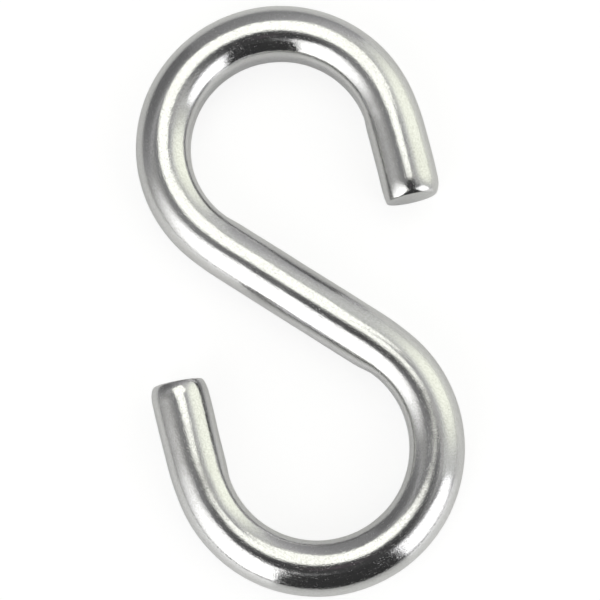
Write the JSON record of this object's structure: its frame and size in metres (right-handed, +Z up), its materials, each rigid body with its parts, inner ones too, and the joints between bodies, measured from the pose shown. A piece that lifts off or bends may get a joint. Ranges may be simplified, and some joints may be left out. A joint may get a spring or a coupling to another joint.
{
  "type": "s hook",
  "caption": "S hook: a round polished steel bar bent into two open hooks that face opposite ways, for hanging one thing from another.",
  "frame": {"origin": "under the middle of the slanting bar, on the surface that the hook lies on", "axes": "+Y along the load line through the middles of both hooks, towards the upper hook; +Z up, square to the flat of the S; +X towards the side on which the upper hook is open"},
  "size_m": [0.0325, 0.0616, 0.006],
  "materials": {
    "steel": "bright polished, with faint drawn lines along the bar and tumbled ends"
  },
  "bodies": {
    "root": {"s_hook": "steel"}
  },
  "joints": []
}
